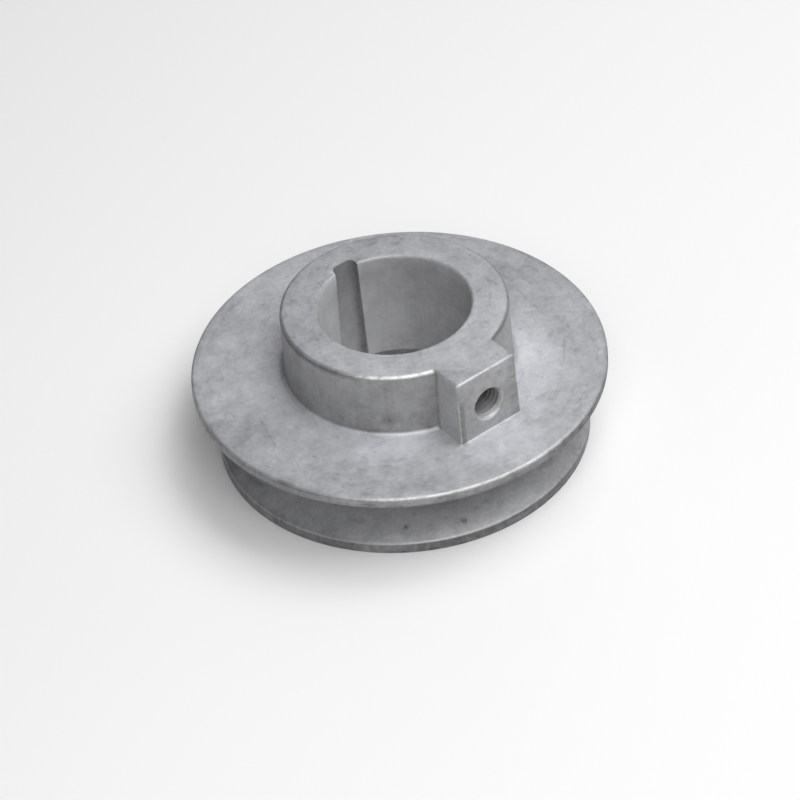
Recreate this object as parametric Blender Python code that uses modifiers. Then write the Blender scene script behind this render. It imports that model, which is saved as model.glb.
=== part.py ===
"""V belt pulley: a one-piece die casting with a raised hub and a square boss, and the set screw in the boss.

Metres, +Z up. The origin is on the bore's axis, in the plane of the lower flange's underside. The hub rises
towards +Z, the set-screw boss points to -Y, and the keyway is opposite it, on +Y.
"""

from math import cos, pi, radians, sqrt, tan

import bmesh
import bpy
from mathutils import Matrix, Vector

MM = 0.001

# Rim: a large upper flange, the V groove, and a smaller lower flange
UPPER_FLANGE_RADIUS = 30.35 * MM
LOWER_FLANGE_RADIUS = 27.4 * MM
RIM_WIDTH = 13.0 * MM
UPPER_LAND_HEIGHT = 1.65 * MM
LOWER_LAND_HEIGHT = 1.7 * MM
GROOVE_ROOT_RADIUS = 18.4 * MM
GROOVE_HALF_ANGLE = radians(17)
GROOVE_ROOT_ROUNDING = 0.8 * MM
RIM_EDGE_ROUNDING = 0.45 * MM
LOWER_EDGE_ROUNDING = 0.15 * MM
GROOVE_EDGE_ROUNDING = 0.5 * MM

# Hub
HUB_RADIUS = 16.5 * MM
HUB_HEIGHT = 10.3 * MM
HUB_DRAFT = radians(1.0)
HUB_EDGE_ROUNDING = 0.6 * MM
HUB_FILLET = 0.9 * MM

# Bore and the cored recess under it
BORE_RADIUS = 11.11 * MM
BORE_CHAMFER = 0.25 * MM
RECESS_RADIUS = 15.0 * MM
RECESS_DEPTH = 5.4 * MM
RECESS_DRAFT = radians(3.0)
RECESS_FILLET = 0.8 * MM

# Keyway: cast, so it opens a little towards the lower end, and its floor runs into its sides in a curve
KEYWAY_TOP_WIDTH = 4.0 * MM
KEYWAY_LOW_WIDTH = 4.8 * MM
KEYWAY_FLOOR_RADIUS = 12.6 * MM
KEYWAY_CORNER_ROUNDING = 0.9 * MM

# Square boss for the set screw
BOSS_FACE_DISTANCE = 20.5 * MM
BOSS_TOP_WIDTH = 10.5 * MM
BOSS_LOW_WIDTH = 10.9 * MM
BOSS_ROOT_DISTANCE = 13.2 * MM
BOSS_FACE_DRAFT = 0.5 * MM
BOSS_EDGE_ROUNDING = 0.35 * MM
BOSS_SINK = 1.0 * MM

# Tapped hole and set screw: the M5 threads are drawn plain, at about their mean diameter
SCREW_AXIS_HEIGHT = RIM_WIDTH + 4.5 * MM
HOLE_RADIUS = 2.3 * MM
HOLE_CHAMFER = 0.3 * MM
SCREW_RADIUS = 2.05 * MM
SCREW_LENGTH = 5.0 * MM
SCREW_TIP_DISTANCE = 11.25 * MM
SCREW_CHAMFER = 0.4 * MM
CUP_RADIUS = 1.25 * MM
CUP_DEPTH = 0.5 * MM
SOCKET_ACROSS_FLATS = 2.5 * MM
SOCKET_DEPTH = 2.0 * MM

TURNED_STEPS = 72
ROUND_STEPS = 32
ARC_STEP = radians(30)
ROUND_PROFILE = 0.5
CUT_MARGIN = 1.0 * MM
MERGE = 0.00001


def clear_scene():
    for obj in list(bpy.data.objects):
        bpy.data.objects.remove(obj, do_unlink=True)


def new_collection(name):
    collection = bpy.data.collections.new(name)
    bpy.context.scene.collection.children.link(collection)
    return collection


def metal(name, colour, roughness, metallic):
    material = bpy.data.materials.new(name)
    material.use_nodes = True
    shader = material.node_tree.nodes["Principled BSDF"]
    shader.inputs["Base Color"].default_value = (*colour, 1.0)
    shader.inputs["Roughness"].default_value = roughness
    shader.inputs["Metallic"].default_value = metallic
    return material


def cast_alloy():
    return metal("cast_alloy", (0.46, 0.465, 0.475), 0.55, 0.6)


def screw_steel():
    return metal("screw_steel", (0.08, 0.08, 0.085), 0.4, 0.9)


def rounded(corners):
    """A closed outline of (x, z, rounding) corners, each rounding drawn as a short arc tangent to both sides."""
    outline = []
    count = len(corners)
    for i, (x, z, rounding) in enumerate(corners):
        corner = Vector((x, z))
        if not rounding:
            outline.append(corner)
            continue
        before = (Vector(corners[i - 1][:2]) - corner).normalized()
        after = (Vector(corners[(i + 1) % count][:2]) - corner).normalized()
        turn = pi - before.angle(after)
        inward = (before + after).normalized()
        centre = corner + inward * rounding / cos(turn / 2)
        side = -1 if before.x * after.y - before.y * after.x > 0 else 1
        steps = max(2, round(turn / ARC_STEP))
        for step in range(steps + 1):
            swing = Matrix.Rotation(side * turn * (step / steps - 0.5), 2)
            outline.append(centre - swing @ inward * rounding)
    return outline


def turned(name, outline, collection, steps=TURNED_STEPS, closed=True):
    """The outline in the XZ plane, swept round Z. It is closed, for a ring, or starts and ends on the axis. It
    runs down its outer side."""
    mesh = bpy.data.meshes.new(name)
    count = len(outline)
    edges = [(i, (i + 1) % count) for i in range(count if closed else count - 1)]
    mesh.from_pydata([(x, 0.0, z) for x, z in outline], edges, [])
    obj = bpy.data.objects.new(name, mesh)
    collection.objects.link(obj)
    screw = obj.modifiers.new("turn", "SCREW")
    screw.axis = "Z"
    screw.steps = steps
    screw.render_steps = steps
    screw.use_merge_vertices = True
    screw.merge_threshold = MERGE
    screw.use_smooth_shade = True
    return obj


def boolean(obj, other, operation):
    modifier = obj.modifiers.new(f"{operation.lower()}_{other.name}", "BOOLEAN")
    modifier.operation = operation
    modifier.solver = "EXACT"
    modifier.object = other


def as_cutter(obj):
    obj.hide_render = True
    obj.display_type = "WIRE"
    return obj


def casting_outline():
    """The casting's section at +X: down the hub and the rim, in under the lower flange, and up the bore."""
    hub_top = RIM_WIDTH + HUB_HEIGHT
    hub_foot_radius = HUB_RADIUS + HUB_HEIGHT * tan(HUB_DRAFT)
    upper_mouth = RIM_WIDTH - UPPER_LAND_HEIGHT
    upper_root = upper_mouth - (UPPER_FLANGE_RADIUS - GROOVE_ROOT_RADIUS) * tan(GROOVE_HALF_ANGLE)
    lower_root = LOWER_LAND_HEIGHT + (LOWER_FLANGE_RADIUS - GROOVE_ROOT_RADIUS) * tan(GROOVE_HALF_ANGLE)
    recess_mouth_radius = RECESS_RADIUS + RECESS_DEPTH * tan(RECESS_DRAFT)
    return rounded([
        (BORE_RADIUS + BORE_CHAMFER, hub_top, 0),
        (HUB_RADIUS, hub_top, HUB_EDGE_ROUNDING),
        (hub_foot_radius, RIM_WIDTH, HUB_FILLET),
        (UPPER_FLANGE_RADIUS, RIM_WIDTH, RIM_EDGE_ROUNDING),
        (UPPER_FLANGE_RADIUS, upper_mouth, GROOVE_EDGE_ROUNDING),
        (GROOVE_ROOT_RADIUS, upper_root, GROOVE_ROOT_ROUNDING),
        (GROOVE_ROOT_RADIUS, lower_root, GROOVE_ROOT_ROUNDING),
        (LOWER_FLANGE_RADIUS, LOWER_LAND_HEIGHT, GROOVE_EDGE_ROUNDING),
        (LOWER_FLANGE_RADIUS, 0, LOWER_EDGE_ROUNDING),
        (recess_mouth_radius, 0, RIM_EDGE_ROUNDING),
        (RECESS_RADIUS, RECESS_DEPTH, RECESS_FILLET),
        (BORE_RADIUS + BORE_CHAMFER, RECESS_DEPTH, 0),
        (BORE_RADIUS, RECESS_DEPTH + BORE_CHAMFER, 0),
        (BORE_RADIUS, hub_top - BORE_CHAMFER, 0),
    ])


def tapered_block(name, low, high, collection):
    """A block between two rectangles, each (x half width, y near, y far, z)."""
    shape = bmesh.new()
    bmesh.ops.create_cube(shape, size=2.0)
    for vertex in shape.verts:
        half_width, near, far, z = high if vertex.co.z > 0 else low
        vertex.co.x *= half_width
        vertex.co.y = near if vertex.co.y < 0 else far
        vertex.co.z = z
    mesh = bpy.data.meshes.new(name)
    shape.to_mesh(mesh)
    shape.free()
    obj = bpy.data.objects.new(name, mesh)
    collection.objects.link(obj)
    return obj


def round_off(obj, chosen, rounding, segments):
    """Rounds the mesh's edges that the test chooses."""
    shape = bmesh.new()
    shape.from_mesh(obj.data)
    edges = [edge for edge in shape.edges if chosen(edge)]
    bmesh.ops.bevel(
        shape, geom=edges, offset=rounding, segments=segments, profile=ROUND_PROFILE, affect="EDGES"
    )
    shape.to_mesh(obj.data)
    shape.free()


def boss_block(collection):
    """The square boss: a drafted block whose outer edges are rounded, sunk into the hub and the flange."""
    top = RIM_WIDTH + HUB_HEIGHT
    low = RIM_WIDTH - BOSS_SINK
    slope = (BOSS_LOW_WIDTH - BOSS_TOP_WIDTH) / 2 / HUB_HEIGHT
    low_half = BOSS_TOP_WIDTH / 2 + slope * (top - low)
    face_low = BOSS_FACE_DISTANCE + BOSS_FACE_DRAFT
    block = tapered_block(
        "boss_block",
        (low_half, -face_low, -BOSS_ROOT_DISTANCE, low),
        (BOSS_TOP_WIDTH / 2, -BOSS_FACE_DISTANCE, -BOSS_ROOT_DISTANCE, top),
        collection,
    )

    def shown(edge):
        outer = all(v.co.y < -BOSS_ROOT_DISTANCE - MERGE for v in edge.verts)
        return outer and any(v.co.z > top - MERGE for v in edge.verts)

    round_off(block, shown, BOSS_EDGE_ROUNDING, 2)
    return as_cutter(block)


def keyway_cutter(collection):
    top = RIM_WIDTH + HUB_HEIGHT
    slope = (KEYWAY_LOW_WIDTH - KEYWAY_TOP_WIDTH) / 2 / (top - RECESS_DEPTH)
    over = KEYWAY_TOP_WIDTH / 2 - slope * CUT_MARGIN
    under = KEYWAY_LOW_WIDTH / 2 + slope * CUT_MARGIN
    inside = BORE_RADIUS / 2
    block = tapered_block(
        "keyway_cutter",
        (under, inside, KEYWAY_FLOOR_RADIUS, RECESS_DEPTH - CUT_MARGIN),
        (over, inside, KEYWAY_FLOOR_RADIUS, top + CUT_MARGIN),
        collection,
    )

    def beside_floor(edge):
        start, end = (v.co for v in edge.verts)
        return min(start.y, end.y) > KEYWAY_FLOOR_RADIUS - MERGE and start.z != end.z

    round_off(block, beside_floor, KEYWAY_CORNER_ROUNDING, 4)
    return as_cutter(block)


def along_screw_axis(obj, distance):
    """Turns a shape modelled along +Z to point out of the boss, its origin on the screw's axis."""
    obj.rotation_euler = (pi / 2, 0.0, 0.0)
    obj.location = (0.0, -distance, SCREW_AXIS_HEIGHT)


def hole_cutter(collection):
    """The tapped hole, from inside the bore out past the boss's face, with a small chamfer at its mouth."""
    mouth = BOSS_FACE_DISTANCE + BOSS_FACE_DRAFT / 2
    inner = BORE_RADIUS / 2
    flare = HOLE_RADIUS + HOLE_CHAMFER + CUT_MARGIN
    outline = [
        (0.0, mouth + CUT_MARGIN - inner),
        (flare, mouth + CUT_MARGIN - inner),
        (HOLE_RADIUS, mouth - HOLE_CHAMFER - inner),
        (HOLE_RADIUS, 0.0),
        (0.0, 0.0),
    ]
    cutter = turned("hole_cutter", outline, collection, ROUND_STEPS, closed=False)
    along_screw_axis(cutter, inner)
    return as_cutter(cutter)


def build_casting(parts, cutters):
    casting = turned("pulley_casting", casting_outline(), parts)
    boolean(casting, boss_block(cutters), "UNION")
    boolean(casting, keyway_cutter(cutters), "DIFFERENCE")
    boolean(casting, hole_cutter(cutters), "DIFFERENCE")
    casting.data.materials.append(cast_alloy())
    return casting


def socket_cutter(collection):
    shape = bmesh.new()
    depth = SOCKET_DEPTH + CUT_MARGIN
    radius = SOCKET_ACROSS_FLATS / sqrt(3)
    bmesh.ops.create_cone(
        shape, cap_ends=True, segments=6, radius1=radius, radius2=radius, depth=depth,
        matrix=Matrix.Translation((0.0, 0.0, SCREW_LENGTH - SOCKET_DEPTH + depth / 2)),
    )
    mesh = bpy.data.meshes.new("socket_cutter")
    shape.to_mesh(mesh)
    shape.free()
    cutter = bpy.data.objects.new("socket_cutter", mesh)
    collection.objects.link(cutter)
    along_screw_axis(cutter, SCREW_TIP_DISTANCE)
    return as_cutter(cutter)


def build_set_screw(parts, cutters):
    outline = [
        (0.0, SCREW_LENGTH),
        (SCREW_RADIUS - SCREW_CHAMFER, SCREW_LENGTH),
        (SCREW_RADIUS, SCREW_LENGTH - SCREW_CHAMFER),
        (SCREW_RADIUS, SCREW_RADIUS - CUP_RADIUS),
        (CUP_RADIUS, 0.0),
        (0.0, CUP_DEPTH),
    ]
    screw = turned("set_screw", outline, parts, ROUND_STEPS, closed=False)
    boolean(screw, socket_cutter(cutters), "DIFFERENCE")
    along_screw_axis(screw, SCREW_TIP_DISTANCE)
    screw.data.materials.append(screw_steel())
    return screw


def main():
    clear_scene()
    parts = new_collection("v_belt_pulley")
    cutters = new_collection("cutters")
    cutters.hide_render = True
    build_casting(parts, cutters)
    build_set_screw(parts, cutters)


main()
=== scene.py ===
"""V belt pulley, the visual model: a die-cast pulley with a tapped boss, and the set screw inside the boss.

Metres, +Z up, in the CAD's frame: the origin is on the bore's axis, in the plane of the lower flange's
underside. The hub rises towards +Z, the set-screw boss points to -Y and the keyway is opposite it, on +Y.
"""

from math import atan2, ceil, cos, pi, radians, sin, sqrt, tan

import bmesh
import bpy
import numpy as np
from mathutils import Matrix, Vector, noise


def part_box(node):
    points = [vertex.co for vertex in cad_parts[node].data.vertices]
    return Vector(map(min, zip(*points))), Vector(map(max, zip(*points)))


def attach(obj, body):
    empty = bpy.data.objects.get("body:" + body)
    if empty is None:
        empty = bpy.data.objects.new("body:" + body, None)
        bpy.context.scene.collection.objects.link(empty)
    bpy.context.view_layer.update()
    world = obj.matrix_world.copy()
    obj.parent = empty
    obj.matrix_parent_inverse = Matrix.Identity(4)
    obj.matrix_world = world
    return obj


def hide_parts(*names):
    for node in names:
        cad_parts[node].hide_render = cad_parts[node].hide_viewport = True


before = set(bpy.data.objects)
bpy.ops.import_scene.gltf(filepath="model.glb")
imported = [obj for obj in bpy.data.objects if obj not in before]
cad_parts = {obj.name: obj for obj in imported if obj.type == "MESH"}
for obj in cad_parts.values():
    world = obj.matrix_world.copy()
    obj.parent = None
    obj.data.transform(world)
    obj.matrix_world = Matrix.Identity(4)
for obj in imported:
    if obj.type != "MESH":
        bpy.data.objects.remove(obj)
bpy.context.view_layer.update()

MM = 0.001
_, CASTING_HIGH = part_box("pulley_casting")
SCREW_LOW, SCREW_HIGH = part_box("set_screw")

# Rim, as in the CAD: a large upper flange, the V groove, and a smaller lower flange
TOP = CASTING_HIGH.z
UPPER_FLANGE_RADIUS = CASTING_HIGH.x
LOWER_FLANGE_RADIUS = 27.4 * MM
RIM_WIDTH = 13.0 * MM
UPPER_LAND_HEIGHT = 1.65 * MM
LOWER_LAND_HEIGHT = 1.7 * MM
GROOVE_ROOT_RADIUS = 18.4 * MM
GROOVE_HALF_ANGLE = radians(17)
GROOVE_ROOT_ROUNDING = 0.8 * MM
RIM_EDGE_ROUNDING = 0.45 * MM
LOWER_EDGE_ROUNDING = 0.15 * MM
UPPER_LIP_ROUNDING = 0.5 * MM
LOWER_LIP_ROUNDING = 0.45 * MM

# Hub
HUB_RADIUS = 16.5 * MM
HUB_DRAFT = radians(1.0)
HUB_EDGE_ROUNDING = 0.6 * MM
HUB_FILLET = 0.9 * MM

# Bore, the cored recess under it, and the keyway. Where the keyway opens into the bore, its wall at +X has
# points on both sides of the bore's surface, and its wall at -X stands back by the chip.
BORE_RADIUS = 11.11 * MM
BORE_EDGE_ROUNDING = 0.3 * MM
BORE_MOUTH_ROUNDING = 0.5 * MM
RECESS_RADIUS = 15.0 * MM
RECESS_DEPTH = 5.4 * MM
RECESS_DRAFT = radians(3.0)
RECESS_FILLET = 0.8 * MM
KEYWAY_TOP_WIDTH = 3.95 * MM
KEYWAY_LOW_WIDTH = 4.8 * MM
KEYWAY_FLOOR_RADIUS = 12.6 * MM
KEYWAY_CORNER_ROUNDING = 0.9 * MM
KEYWAY_LEAN = 0.35 * MM
KEYWAY_BREAK_INSIDE = 0.3 * MM
KEYWAY_BREAK_OUTSIDE = 0.2 * MM
KEYWAY_CHIP = 0.15 * MM
KEYWAY_CHIP_EDGE = 0.12 * MM

# Square boss
BOSS_FACE_DISTANCE = 20.5 * MM
BOSS_TOP_WIDTH = 10.5 * MM
BOSS_LOW_WIDTH = 10.9 * MM
BOSS_FACE_DRAFT = 0.5 * MM
BOSS_EDGE_ROUNDING = 0.4 * MM
BOSS_CORNER_ROUNDING = 0.3 * MM
BOSS_FILLET = 0.2 * MM

# Flash: a thin fin left by the mould, up the lower part of the boss's corner at -X
FLASH_HEIGHT = 7.0 * MM
FLASH_RADIUS = 0.17 * MM

# Small pits in the groove's lower wall: (degrees from +X, radius, pit radius)
GROOVE_PITS = (
    (-127.9, 24.7 * MM, 0.28 * MM),
    (-108.9, 25.3 * MM, 0.4 * MM),
)

# Round marks that ejector pins leave on the underside
EJECTOR_MARKS = 4
EJECTOR_CIRCLE_RADIUS = 21.3 * MM
EJECTOR_MARK_RADIUS = 2.5 * MM
EJECTOR_MARK_DEPTH = 0.2 * MM

# M5 thread and the screw in it
THREAD_PITCH = 0.8 * MM
THREAD_MEAN_RADIUS = 2.28 * MM
THREAD_HALF_DEPTH = 0.21 * MM
THREAD_CLEARANCE = 0.03 * MM
SCREW_AXIS_HEIGHT = (SCREW_LOW.z + SCREW_HIGH.z) / 2
SCREW_TIP_DISTANCE = -SCREW_HIGH.y
SCREW_LENGTH = SCREW_HIGH.y - SCREW_LOW.y
SCREW_END_CHAMFER = 0.5 * MM
CUP_RADIUS = 1.25 * MM
CUP_DEPTH = 0.5 * MM
CUP_LIP = 0.15 * MM
SOCKET_ACROSS_FLATS = 2.5 * MM
SOCKET_DEPTH = 2.0 * MM
HOLE_MOUTH_RADIUS = 2.62 * MM

# Fineness of the meshes
TURNED_STEPS = 384
WALL_SPACING = 0.62 * MM
ARC_STEP = radians(15)
MERGE = 0.000002
SINK = 0.02 * MM
EDGE_NICK_SIZE = 1.6 * MM
EDGE_NICK_DEPTH = 0.09 * MM
CUT_MARGIN = 1.0 * MM
ROUND_SEGMENTS = 48
SHARP_ANGLE = radians(38)

# Colours, linear
CAST_GREY = (0.46, 0.463, 0.475, 1.0)
CAST_WARM = (0.46, 0.463, 0.469, 1.0)
CAST_COOL = (0.452, 0.458, 0.482, 1.0)
# Bright metal for rubbed edges, and for the highlights painted along edges
RUBBED_AND_HIGHLIGHT_BRIGHT = (0.775, 0.765, 0.745, 1.0)
STAIN_BROWN = (0.135, 0.11, 0.1, 1.0)
SCREW_BLACK = (0.05, 0.05, 0.052, 1.0)
SCREW_DARK = (0.035, 0.035, 0.038, 1.0)
SCREW_BROWNED = (0.075, 0.07, 0.066, 1.0)
WHITE = (1.0, 1.0, 1.0, 1.0)
FLOOR_PALE = (0.9, 0.9, 0.9, 1.0)

# Sizes of the largest features in each layer of the materials
CLOUD_SIZE = 8 * MM
MOTTLE_SIZE = 2.5 * MM
SPECK_SIZE = 0.75 * MM
GRAIN_SIZE = 0.3 * MM
SMUDGE_SIZE = 1.1 * MM
SMUDGE_CIRCLE = 8 * MM
DRAW_LINE_SIZE = 0.6 * MM
DRAW_LINE_STRETCH = 14.0
BRIGHT_EDGE_PATCH_SIZE = 1.1 * MM
SCREW_PATCH_SIZE = 0.8 * MM
SCREW_GRAIN_SIZE = 0.12 * MM


# ---------------------------------------------------------------- shapes


def rounded(corners):
    """A closed outline of (x, z, rounding) corners, each rounding drawn as an arc tangent to both sides."""
    outline = []
    count = len(corners)
    for i, (x, z, rounding) in enumerate(corners):
        corner = Vector((x, z))
        if not rounding:
            outline.append(corner)
            continue
        before = (Vector(corners[i - 1][:2]) - corner).normalized()
        after = (Vector(corners[(i + 1) % count][:2]) - corner).normalized()
        turn = pi - before.angle(after)
        inward = (before + after).normalized()
        centre = corner + inward * rounding / cos(turn / 2)
        side = -1 if before.x * after.y - before.y * after.x > 0 else 1
        steps = max(2, round(turn / ARC_STEP))
        for step in range(steps + 1):
            swing = Matrix.Rotation(side * turn * (step / steps - 0.5), 2)
            outline.append(centre - swing @ inward * rounding)
    return outline


def divided(outline, spacing):
    """The closed outline with its long runs split into steps no longer than the spacing."""
    points = []
    for i, start in enumerate(outline):
        end = outline[(i + 1) % len(outline)]
        steps = max(1, ceil((end - start).length / spacing))
        points += [start.lerp(end, step / steps) for step in range(steps)]
    return points


def new_object(name, data):
    obj = bpy.data.objects.new(name, data)
    bpy.context.scene.collection.objects.link(obj)
    return obj


def object_of(shape, name):
    """A new object with this bmesh as its mesh. The bmesh is freed."""
    mesh = bpy.data.meshes.new(name)
    shape.to_mesh(mesh)
    shape.free()
    return new_object(name, mesh)


def turned(name, outline, steps):
    """A ring: the closed outline in the XZ plane, swept round Z. It runs down its outer side."""
    mesh = bpy.data.meshes.new(name)
    count = len(outline)
    edges = [(i, (i + 1) % count) for i in range(count)]
    mesh.from_pydata([(p.x, 0.0, p.y) for p in outline], edges, [])
    obj = new_object(name, mesh)
    screw = obj.modifiers.new("turn", "SCREW")
    screw.axis = "Z"
    screw.steps = steps
    screw.render_steps = steps
    screw.use_merge_vertices = True
    screw.merge_threshold = MERGE
    return obj


def lofted(name, rings):
    """A closed solid through rings of the same number of points, each listed the same way round."""
    shape = bmesh.new()
    made = [[shape.verts.new(point) for point in ring] for ring in rings]
    count = len(rings[0])
    for low, high in zip(made, made[1:]):
        for i in range(count):
            j = (i + 1) % count
            shape.faces.new((low[i], low[j], high[j], high[i]))
    shape.faces.new(list(reversed(made[0])))
    shape.faces.new(made[-1])
    bmesh.ops.recalc_face_normals(shape, faces=shape.faces)
    return object_of(shape, name)


def boolean(obj, other, operation):
    modifier = obj.modifiers.new(f"{operation.lower()}_{other.name}", "BOOLEAN")
    modifier.operation = operation
    modifier.solver = "EXACT"
    modifier.object = other


def finished(obj, *helpers):
    """The object with its modifiers applied and its helpers gone, shaded smooth up to the sharp angle."""
    graph = bpy.context.evaluated_depsgraph_get()
    mesh = bpy.data.meshes.new_from_object(obj.evaluated_get(graph))
    obj.modifiers.clear()
    obj.data = mesh
    for helper in helpers:
        bpy.data.objects.remove(helper, do_unlink=True)
    mesh.shade_smooth()
    mesh.set_sharp_from_angle(angle=SHARP_ANGLE)
    return obj


def quarter_round(rounding, distance):
    """How far a rounded edge stands back at this distance from the face that it rounds into."""
    if distance >= rounding:
        return 0.0
    return rounding - sqrt(max(0.0, rounding**2 - (rounding - distance) ** 2))


# ---------------------------------------------------------------- casting


def casting_outline():
    """The casting's section at +X: down the hub and the rim, in under the lower flange, and up the bore."""
    hub_foot_radius = HUB_RADIUS + (TOP - RIM_WIDTH) * tan(HUB_DRAFT)
    upper_mouth = RIM_WIDTH - UPPER_LAND_HEIGHT
    upper_root = upper_mouth - (UPPER_FLANGE_RADIUS - GROOVE_ROOT_RADIUS) * tan(GROOVE_HALF_ANGLE)
    lower_root = LOWER_LAND_HEIGHT + (LOWER_FLANGE_RADIUS - GROOVE_ROOT_RADIUS) * tan(GROOVE_HALF_ANGLE)
    recess_mouth_radius = RECESS_RADIUS + RECESS_DEPTH * tan(RECESS_DRAFT)
    return rounded([
        (HUB_RADIUS, TOP, HUB_EDGE_ROUNDING),
        (hub_foot_radius, RIM_WIDTH, HUB_FILLET),
        (UPPER_FLANGE_RADIUS, RIM_WIDTH, RIM_EDGE_ROUNDING),
        (UPPER_FLANGE_RADIUS, upper_mouth, UPPER_LIP_ROUNDING),
        (GROOVE_ROOT_RADIUS, upper_root, GROOVE_ROOT_ROUNDING),
        (GROOVE_ROOT_RADIUS, lower_root, GROOVE_ROOT_ROUNDING),
        (LOWER_FLANGE_RADIUS, LOWER_LAND_HEIGHT, LOWER_LIP_ROUNDING),
        (LOWER_FLANGE_RADIUS, 0, LOWER_EDGE_ROUNDING),
        (recess_mouth_radius, 0, RIM_EDGE_ROUNDING),
        (RECESS_RADIUS, RECESS_DEPTH, RECESS_FILLET),
        (BORE_RADIUS, RECESS_DEPTH, BORE_EDGE_ROUNDING),
        (BORE_RADIUS, TOP, BORE_MOUTH_ROUNDING),
    ])


def hub_wall_radius(height):
    """The hub's radius at this height, with its draft, its rounded top edge and the fillet at its foot."""
    drafted = HUB_RADIUS + (TOP - height) * tan(HUB_DRAFT)
    foot = quarter_round(HUB_FILLET, max(0.0, height - RIM_WIDTH))
    return drafted - quarter_round(HUB_EDGE_ROUNDING, TOP - height) + foot


def arc(centre, radius, start, end, steps):
    angles = [start + (end - start) * step / steps for step in range(steps + 1)]
    return [(centre[0] + radius * cos(a), centre[1] + radius * sin(a)) for a in angles]


def boss_ring(height, side_steps=12, front_steps=11, arc_steps=5):
    """The boss's outline at this height: out of the hub in a fillet, along the side, and half of the face.
    The other half is mirrored. It draws in at the rounded top edge, and widens in the fillet at its foot."""
    below_top = TOP - height
    slope = below_top / (TOP - RIM_WIDTH)
    flare = quarter_round(BOSS_FILLET, max(0.0, height - RIM_WIDTH + SINK))
    inset = quarter_round(BOSS_EDGE_ROUNDING, below_top) - flare
    half_width = BOSS_TOP_WIDTH / 2 + (BOSS_LOW_WIDTH - BOSS_TOP_WIDTH) / 2 * slope - inset
    distance = BOSS_FACE_DISTANCE + BOSS_FACE_DRAFT * slope - inset
    corner = max(BOSS_CORNER_ROUNDING - inset, SINK)
    hub = hub_wall_radius(height) - SINK
    reach = hub + BOSS_FILLET
    centre = (half_width + BOSS_FILLET, -sqrt(reach**2 - (half_width + BOSS_FILLET) ** 2))
    at_hub = atan2(-centre[1], -centre[0])
    inner = (centre[0] * (hub - CUT_MARGIN) / reach, centre[1] * (hub - CUT_MARGIN) / reach)
    points = [inner] + arc(centre, BOSS_FILLET, at_hub, pi, arc_steps)
    side_end = -(distance - corner)
    for step in range(1, side_steps):
        points.append((half_width, centre[1] + (side_end - centre[1]) * step / side_steps))
    points += arc((half_width - corner, side_end), corner, 0, -pi / 2, arc_steps)
    face_end = half_width - corner
    for step in range(1, front_steps):
        points.append((face_end * (1 - step / front_steps), -distance))
    mirrored = [(-x, y) for x, y in reversed(points)]
    return [Vector((x, y, height)) for x, y in points + [(0.0, -distance)] + mirrored]


def boss_block():
    """The boss, from just inside the flange up to the hub's top."""
    heights = [RIM_WIDTH - CUT_MARGIN / 2]
    heights += [RIM_WIDTH - SINK + BOSS_FILLET * (1 - cos(radians(a))) for a in range(0, 90, 12)]
    low, high = RIM_WIDTH + BOSS_FILLET, TOP - BOSS_EDGE_ROUNDING
    steps = ceil((high - low) / WALL_SPACING)
    heights += [low + (high - low) * step / steps for step in range(steps)]
    heights += [TOP - BOSS_EDGE_ROUNDING * (1 - sin(radians(a))) for a in range(0, 91, 15)]
    return lofted("boss_block", [boss_ring(height) for height in heights])


def keyway_ring(height, half_width):
    """The keyway's outline at this height, with two rounded corners on its floor. Its wall at -X leans in
    towards the floor, and is a little chipped at the bore."""
    far, corner = KEYWAY_FLOOR_RADIUS, KEYWAY_CORNER_ROUNDING
    inside, outside = BORE_RADIUS - KEYWAY_BREAK_INSIDE, BORE_RADIUS + KEYWAY_BREAK_OUTSIDE
    right = [(half_width, BORE_RADIUS / 2), (half_width, inside), (half_width, outside)]
    right += arc((half_width - corner, far - corner), corner, 0, pi / 2, 8)
    right += [((half_width - corner) / 2, far)]
    left = [(half_width + KEYWAY_CHIP, BORE_RADIUS / 2), (half_width + KEYWAY_CHIP_EDGE, inside)]
    for x, y in right:
        if y > outside:
            lean = KEYWAY_LEAN * (y - BORE_RADIUS) / (far - BORE_RADIUS)
            left.append((x - lean * (x > corner), y))
    ring = right + [(0.0, far)] + [(-x, y) for x, y in reversed(left)]
    return [Vector((x, y, height)) for x, y in ring]


def keyway_cutter():
    """The keyway: a block that widens towards the lower end."""
    low, high = RECESS_DEPTH - CUT_MARGIN, TOP + CUT_MARGIN
    steps = ceil((high - low) / WALL_SPACING)
    rings = []
    for step in range(steps + 1):
        height = low + (high - low) * step / steps
        share = (TOP - height) / (TOP - RECESS_DEPTH)
        width = KEYWAY_TOP_WIDTH + (KEYWAY_LOW_WIDTH - KEYWAY_TOP_WIDTH) * share
        rings.append(keyway_ring(height, width / 2))
    return lofted("keyway_cutter", rings)


def thread_radius(y, angle, mean_radius):
    """The thread's radius at this place along Y and this angle round the screw's axis."""
    turn = y / THREAD_PITCH + angle / (2 * pi)
    return mean_radius + THREAD_HALF_DEPTH * cos(2 * pi * turn)


def threaded_rod(name, near, far, mean_radius, limit, around=56, per_pitch=14):
    """A threaded rod along the screw's axis between two places on Y. The limit may change its radius."""
    steps = ceil((far - near) / THREAD_PITCH * per_pitch)
    rings = []
    for step in range(steps + 1):
        y = far - (far - near) * step / steps
        ring = []
        for i in range(around):
            angle = 2 * pi * i / around
            radius = limit(y, thread_radius(y, angle, mean_radius))
            ring.append(Vector((radius * cos(angle), y, SCREW_AXIS_HEIGHT + radius * sin(angle))))
        rings.append(ring)
    return lofted(name, rings)


def hole_cutter():
    """The tapped hole, from inside the bore out past the boss's face, countersunk a little at its mouth."""
    face = -BOSS_FACE_DISTANCE - BOSS_FACE_DRAFT / 2

    def opened(y, radius):
        return max(radius, HOLE_MOUTH_RADIUS + face - y)

    return threaded_rod("hole_cutter", face - CUT_MARGIN, -BORE_RADIUS / 2, THREAD_MEAN_RADIUS, opened)


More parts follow.
